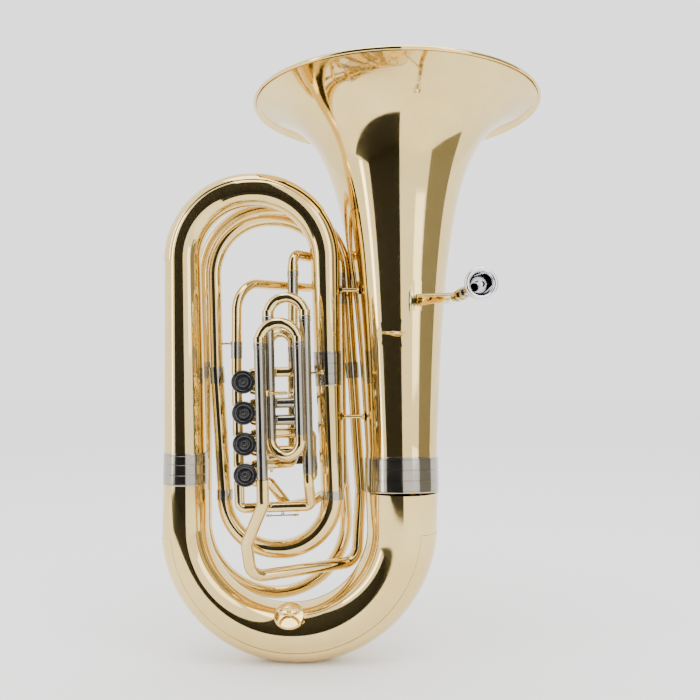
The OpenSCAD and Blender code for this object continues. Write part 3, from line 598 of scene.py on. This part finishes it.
def valve_tubing():
    z0, z2 = valve_z(0), valve_z(2)
    first_high = pipe(loop_port(0, 1) + [(FIRST_B[0], PORT_Y, z0 + PORT_DZ), (FIRST_B[0], FIRST_B[1], 469.9)])
    first_low = pipe(loop_port(0, -1) + [
        valve_at(0) + [21.5, 0, -PORT_DZ], (FIRST_A[0], FIRST_A[1], z0 - PORT_DZ), (FIRST_A[0], FIRST_A[1], 443.9)])
    tube("first_loop_tubes", [(p, TUBE_R, TUBE_R) for p in (first_high, first_low)], BRASS, "horn",
         ["first_valve_tubing"])
    stubs = [pipe(loop_port(1, up) + [valve_at(1) + [24, 0, up * PORT_DZ]]) for up in (1, -1)]
    tube("second_loop_tubes", [(p, TUBE_R, TUBE_R) for p in stubs], BRASS, "horn",
         ["second_valve_tubing"])
    third_high = pipe(loop_port(2, 1) + [(THIRD_A[0], THIRD_A[1], z2 + PORT_DZ), (THIRD_A[0], THIRD_A[1], 323.1)])
    third_low = pipe(loop_port(2, -1) + [(THIRD_B[0], THIRD_B[1], z2 - PORT_DZ), (THIRD_B[0], THIRD_B[1], 320.1)])
    tube("third_loop_tubes", [(p, TUBE_R, TUBE_R) for p in (third_high, third_low)], BRASS, "horn",
         ["third_valve_tubing"])
    high_port = leaned(valve_at(3) + [24, 0, PORT_DZ])
    fourth_high = outside_casings(route(
        [leaned(p) for p in loop_port(3, 1)]
        + [high_port, (FOURTH_A[0], FOURTH_A[1], high_port[2]), (FOURTH_A[0], FOURTH_A[1], 563.9)], 9))
    fourth_low = outside_casings(route(
        [leaned(p) for p in loop_port(3, -1)]
        + [(-36, -36, 286.6), (-8, -14, 246), (30, 24, 248), (52, 36, 262), (76, 35, 270),
           (FOURTH_B[0], FOURTH_B[1], 563.9)], 9))
    tube("fourth_loop_tubes", [(p, TUBE_R, TUBE_R) for p in (fourth_high, fourth_low)], BRASS, "horn",
         ["fourth_valve_tubing"])


def main_tubes():
    links = [
        pipe(main_port(i, -1) + main_port(i + 1, 1)[::-1])
        for i in range(3)
    ]
    tube("main_line_tubes", [(p, TUBE_R, TUBE_R) for p in links], BRASS, "horn", ["main_line"])
    lower = pipe(main_port(3, -1) + [
        (VALVE_X - MAIN_DX, PORT_Y, 247), (24, -36, 247), (BACK_B[0], BACK_B[1], 285), (BACK_B[0], BACK_B[1], 299.9)])
    tube("lower_connector_tube", [(lower, TUBE_R, TUBE_R)], BRASS, "horn", ["lower_connector"])
    link = route([leaned(p) for p in (
        (MAIN_B[0], MAIN_B[1], 360), (MAIN_B[0], MAIN_B[1], 329),
        (BACK_A[0], BACK_A[1], 329), (BACK_A[0], BACK_A[1], 354))], 24.2)
    tube("linking_tube", [(link, TUBE_R, TUBE_R)], BRASS, "horn", ["linking_bow"])
    start = MOUTHPIECE_AT + MOUTH_IN * (88 + RECEIVER_H)
    lead = route([
        start, start + MOUTH_IN * 14, (263, 134, 576), (92, 122, 588), (30, 86, 593), (-86, -37, 594),
        leaned((VALVE_X - MAIN_DX, PORT_Y, VALVE_TOP_Z + 10))], 44)
    tube("leadpipe_tube", [(lead, 7.6, 7.6)], BRASS, "horn", ["leadpipe"])


# ---------- caps and mouthpiece ----------

def softened(points, rounds=2):
    """A closed outline with its corners cut back to soft curves."""
    for _ in range(rounds):
        following = points[1:] + points[:1]
        points = [
            (mix(a[0], b[0], t), mix(a[1], b[1], t)) for a, b in zip(points, following) for t in (0.25, 0.75)
        ]
    return points + points[:1]


def valve_caps():
    """Screw caps coloured glossy black as a painted reflection of the dark camera side, each with a dimple and two
    thin bright nickel ring lines.
    """
    cap = softened([
        (0, 0.9), (1.6, 0.9), (2.6, 1.6), (4.8, 1.6), (5.4, 0.5), (6.4, 0.5), (7.0, 1.7), (12.4, 1.7),
        (13.2, 0.6), (14.4, 0.6), (16.4, 0.2), (18.1, 1.4), (18.0, 3.0), (18.0, 13.0), (17.2, 13.0), (17.2, 5.2),
        (0, 5.2),
    ])
    lines = [[(r - 0.32, 0.75), (r - 0.32, 0.3), (r + 0.32, 0.3), (r + 0.32, 0.75)] for r in (5.9, 13.8)]
    fronts = [in_cluster((VALVE_X, -63.5, valve_z(i)), np.array([0.0, 1.0, 0.0])) for i in range(4)]
    # The cap faces are coloured black as a painted reflection of the dark camera side; the ring lines stay nickel.
    lathe("cap_set_painted_reflection_black", [(cap, at, axis, 96) for at, axis in fronts], CAP_PAINTED_REFLECTION_BLACK, "horn", ["valve_caps"])
    lathe("cap_ring_lines", [(line, at, axis, 96) for at, axis in fronts for line in lines],
          NICKEL, "horn", [])


def mouthpiece():
    """Rim, cup, turned collar and tapered shank in one smooth turned shape."""
    r = 23.5
    outline = softened([
        (16, 5), (16.6, 2), (18, 0.5), (20, 0), (22, 0.7), (r - 0.4, 2.4), (r, 5), (r - 0.6, 8), (r - 2.2, 10),
        (r - 2.6, 14), (r - 3.4, 20), (r - 6, 28), (r - 10, 36), (r - 13.4, 42), (r - 14.8, 48), (9, 52),
        (9.5, 55), (9, 58), (7.6, 62), (SHANK_R + 0.4, 86), (SHANK_R, 87), (SHANK_R, 112), (4.6, 112), (3.9, 44),
        (5.2, 40), (9, 35.5), (12.6, 28), (14.8, 18), (15.6, 10),
    ])
    lathe("mouthpiece_body", [(outline, MOUTHPIECE_AT, MOUTH_IN, 96)], SILVER, "mouthpiece", ["mouthpiece"],
          60)


# ---------- stage ----------

def card(name, corners, material, seen=False):
    mesh = bpy.data.meshes.new(name)
    mesh.from_pydata(corners, [], [(0, 1, 2, 3)])
    mesh.materials.append(material)
    obj = bpy.data.objects.new(name, mesh)
    bpy.context.scene.collection.objects.link(obj)
    obj.visible_camera = seen
    obj.visible_diffuse = seen
    obj.visible_shadow = seen


def light(name, place, aim, size, power, colour=(1, 1, 1)):
    data = bpy.data.lights.new(name, "AREA")
    data.shape = "RECTANGLE"
    data.size, data.size_y = size
    data.energy = power
    data.color = colour
    obj = bpy.data.objects.new(name, data)
    obj.location = place
    obj.rotation_euler = (Vector(aim) - Vector(place)).to_track_quat("-Z", "Y").to_euler()
    bpy.context.scene.collection.objects.link(obj)


def studio():
    paper = studio_paper("studio_paper", (0.93, 0.93, 0.93))
    dark = studio_paper("black_card", (0.004, 0.004, 0.004))
    grey = studio_paper("grey_card", (0.16, 0.15, 0.12))
    card("floor", [(-8, -8, 0), (8, -8, 0), (8, 8, 0), (-8, 8, 0)], paper, seen=True)
    card("card_behind_camera", [(-2.7, -2.3, 0.0), (0.22, -2.3, 0.0), (0.22, -2.3, 4.5), (-2.7, -2.3, 4.5)], dark)
    card("mat_on_floor", [(-2.7, -2.3, 0.003), (0.22, -2.3, 0.003), (0.22, -0.95, 0.003), (-2.7, -0.95, 0.003)], dark)
    card("card_right", [(2.6, -1.8, 0.0), (2.6, 0.4, 0.0), (2.6, 0.4, 3.2), (2.6, -1.8, 3.2)], grey)
    world = bpy.data.worlds.new("studio")
    bpy.context.scene.world = world
    world.use_nodes = True
    world.node_tree.nodes["Background"].inputs["Color"].default_value = (1.0, 1.0, 1.0, 1)
    world.node_tree.nodes["Background"].inputs["Strength"].default_value = 2.0
    light("overhead", (0.2, -0.4, 3.2), (0.1, 0, 0.5), (2.4, 2.4), 60)
    light("right_soft", (1.9, -2.0, 1.6), (0.1, 0, 0.5), (1.0, 2.2), 14)
    light("left_strip", (-2.6, -1.3, 1.2), (0.1, 0, 0.5), (0.35, 2.4), 14)
    camera = bpy.data.cameras.new("camera")
    camera.lens = 50
    camera.sensor_width = 36
    obj = bpy.data.objects.new("camera", camera)
    obj.location = (0.0885, -1.536, 0.490)
    obj.rotation_euler = (math.radians(90), 0, 0)
    bpy.context.scene.collection.objects.link(obj)
    bpy.context.scene.camera = obj


bell()
garlands()
big_bows()
guard("bottom_guard_plate", "bottom_bow_guard", bottom_path, 34, 57, 0.03, 0.985)
guard("top_guard_plate", "top_bow_guard", top_path, 20.8, 32.8, 0.19, 0.99)
second_top, first_top, first_bottom, second_leg, goose = small_bows()
tube("second_top_tube", [(second_top, 10.5, 10.5)], BRASS, "horn", ["second_top_bow"], 0.9)
tube("first_top_tube", [(first_top, 10, 10)], BRASS, "horn", ["first_top_bow"], 0.9)
tube("first_bottom_tube", [(first_bottom, 10.5, 10.5)], BRASS, "horn", ["first_bottom_bow"], 0.9)
tube("second_leg_tube", [(second_leg, 11, 11)], BRASS, "horn", ["second_leg"], 0.9)
tube("gooseneck_tube", [(goose, 9.3, 9.3)], BRASS, "horn", ["gooseneck"], 0.8)
slides()
sleeves()
valve_tubing()
main_tubes()
valve_caps()
mouthpiece()
studio()
